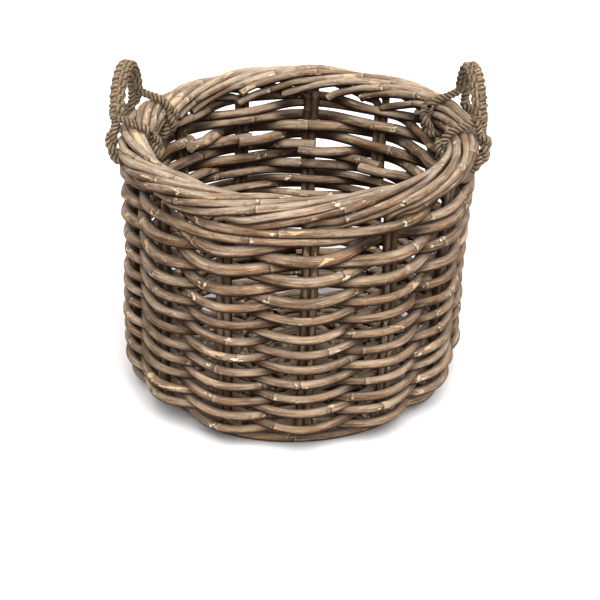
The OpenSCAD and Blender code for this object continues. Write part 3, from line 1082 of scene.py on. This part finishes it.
class HandleFrame:
    """A handle's own directions: along the hinge, outwards and up, from the hinge line."""

    def __init__(self, side):
        a, b = (border_point(FIRST_LEG[side] + on, 0, 0) for on in (0, 1))
        self.axis = (b - a).normalized()
        self.out = self.axis.cross(Vector((0, 0, 1)))
        self.span = (b - a).length / 2
        self.centre = (a + b) / 2
        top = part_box(f"handle_{side}")[1].z - ROPE_D / 2 - 0.002
        self.arch = top - BORDER_Z - self.span  # height of the middle of the arch

    def point(self, along, out, up):
        return self.centre + self.axis * along + self.out * out + Vector((0, 0, up))


def plait_points(h, number):
    """Centre line of cord number 0, 1 or 2 of a plait."""
    quarter = math.pi / 2 * h.span
    half = quarter + max(0.0, h.arch - NECK)
    third = 2 * math.pi * number / 3
    points = []
    steps = round(2 * half / CORD_STEP)
    for j in range(steps + 1):
        t = -half + 2 * half * j / steps
        if abs(t) > quarter:
            along = math.copysign(h.span, t)
            up = h.arch - (abs(t) - quarter)
            normal = (math.copysign(1, t), 0)
        else:
            angle = t / h.span
            along, up = h.span * math.sin(angle), h.arch + h.span * math.cos(angle)
            normal = (math.sin(angle), math.cos(angle))
        x = ROPE_ACROSS * math.sin(2 * math.pi * t / PLAIT_PITCH + third)
        y = ROPE_DEEP * math.sin(4 * math.pi * t / PLAIT_PITCH + 2 * third)
        points.append(h.point(along + y * normal[0], HANDLE_OUT + x, up + y * normal[1]))
    head, tail = (wound(h, way, number) for way in (-1, 1))
    return resample([*reversed(head), *points[1:-1], *tail], CORD_STEP)


def wound(h, way, number):
    """The end of a cord, from the neck of the plait round the border and under it."""
    inner = number == 1
    first, last = INNER_SWEEP if inner else OUTER_SWEEP
    points = []
    for j in range(WOUND_STEPS + 1):
        a = math.radians(first + (last - first) * j / WOUND_STEPS)
        radius, shift = WOUND_R + 0.001, 0.0
        if not inner:
            twist = 4.5 * a + math.pi * number / 2
            radius = WOUND_R + 0.0030 + 0.0034 * math.cos(twist)
            shift = 0.0042 * math.sin(twist)
        points.append(h.point(way * h.span + shift, radius * math.sin(a), radius * math.cos(a)))
    return points


def lash_points(h, way):
    """Turns of the lashing round one leg of the plait."""
    points = []
    for j in range(LASH_TURNS * LASH_STEPS + 1):
        a = 2 * math.pi * j / LASH_STEPS
        up = LASH_START + LASH_PITCH * j / LASH_STEPS
        bow = h.span
        if up > h.arch:
            bow = math.sqrt(max(0.0, h.span**2 - (up - h.arch) ** 2))
        along = way * (bow + LASH_ALONG * math.cos(a))
        across = HANDLE_OUT + LASH_ACROSS * math.sin(a)
        points.append(h.point(along, across, up + LASH_SLANT * math.sin(a)))
    return points


cord_number = 0
for side in ("right", "left"):
    h = HandleFrame(side)
    cords = []
    for number in range(3):
        cord_number += 1
        cords.append(lay_cord("cord", plait_points(h, number), CORD_D, cord_number))
    plait = join(f"plait_{side}", cords)
    finish_piece(plait, seagrass, f"handle_{side}", "plaited_rope", f"handle_{side}")

    lashes = []
    for way in (-1, 1):
        cord_number += 1
        lashes.append(lay_cord("lash", lash_points(h, way), LASH_D, cord_number))
    lashing = join(f"lashing_{side}", lashes)
    finish_piece(lashing, straw, f"handle_{side}", "lashing_straw", f"handle_{side}_lashings")

for spare in (long_cane, cord):
    bpy.data.objects.remove(spare)


# ---------------------------------------------------------------- studio
# White floor, a soft light overhead, a weaker one from behind, and a long lens a
# little above the rim.

CAMERA_DISTANCE = 2.6
CAMERA_RISE = math.radians(26.98)
CAMERA_LEVEL = 0.19  # height in the basket that the distance is measured from
CAMERA_AIM = Vector((0.0021, 0.0, 0.1139))

bpy.ops.mesh.primitive_plane_add(size=40, location=(0, 0, 0))
floor = bpy.context.object
floor.name = "floor"
bpy.ops.object.mode_set(mode="EDIT")
bpy.ops.mesh.subdivide(number_cuts=3)
bpy.ops.object.mode_set(mode="OBJECT")
paper = bpy.data.materials.new("White floor")
paper.use_nodes = True
paper_shader = paper.node_tree.nodes["Principled BSDF"]
paper_shader.inputs["Base Color"].default_value = (0.76, 0.742, 0.737, 1)
paper_shader.inputs["Roughness"].default_value = 0.9
paper_shader.inputs["Specular IOR Level"].default_value = 0.0
floor.data.materials.append(paper)

world = bpy.data.worlds.new("Studio")
bpy.context.scene.world = world
world.use_nodes = True
sky = Wiring(world.node_tree)
seen = sky.node("ShaderNodeLightPath").outputs["Is Camera Ray"]
background = world.node_tree.nodes["Background"]
background.inputs["Color"].default_value = (1, 1, 1, 1)
world.node_tree.links.new(sky.ramp(seen, 0.0, 1.0, 0.42, 1.0), background.inputs["Strength"])

for energy, spread, tilt, roll in ((5.4, 60, 35, 7), (1.5, 80, -55, 0)):
    bpy.ops.object.light_add(type="SUN", location=(0, 0, 3))
    sun = bpy.context.object
    sun.data.energy = energy
    sun.data.angle = math.radians(spread)
    sun.rotation_euler = (math.radians(tilt), math.radians(roll), 0)

view = bpy.context.scene.view_settings
view.view_transform = "Standard"
view.look = "None"
view.gamma = 0.90

away = CAMERA_DISTANCE * math.cos(CAMERA_RISE)
eye = Vector((0, -away, CAMERA_LEVEL + CAMERA_DISTANCE * math.sin(CAMERA_RISE)))
bpy.ops.object.camera_add(location=eye)
camera = bpy.context.object
camera.rotation_euler = (CAMERA_AIM - eye).to_track_quat("-Z", "Y").to_euler()
camera.data.sensor_width = 36
camera.data.lens = 107.6
camera.data.clip_start, camera.data.clip_end = 0.1, 60
bpy.context.scene.camera = camera
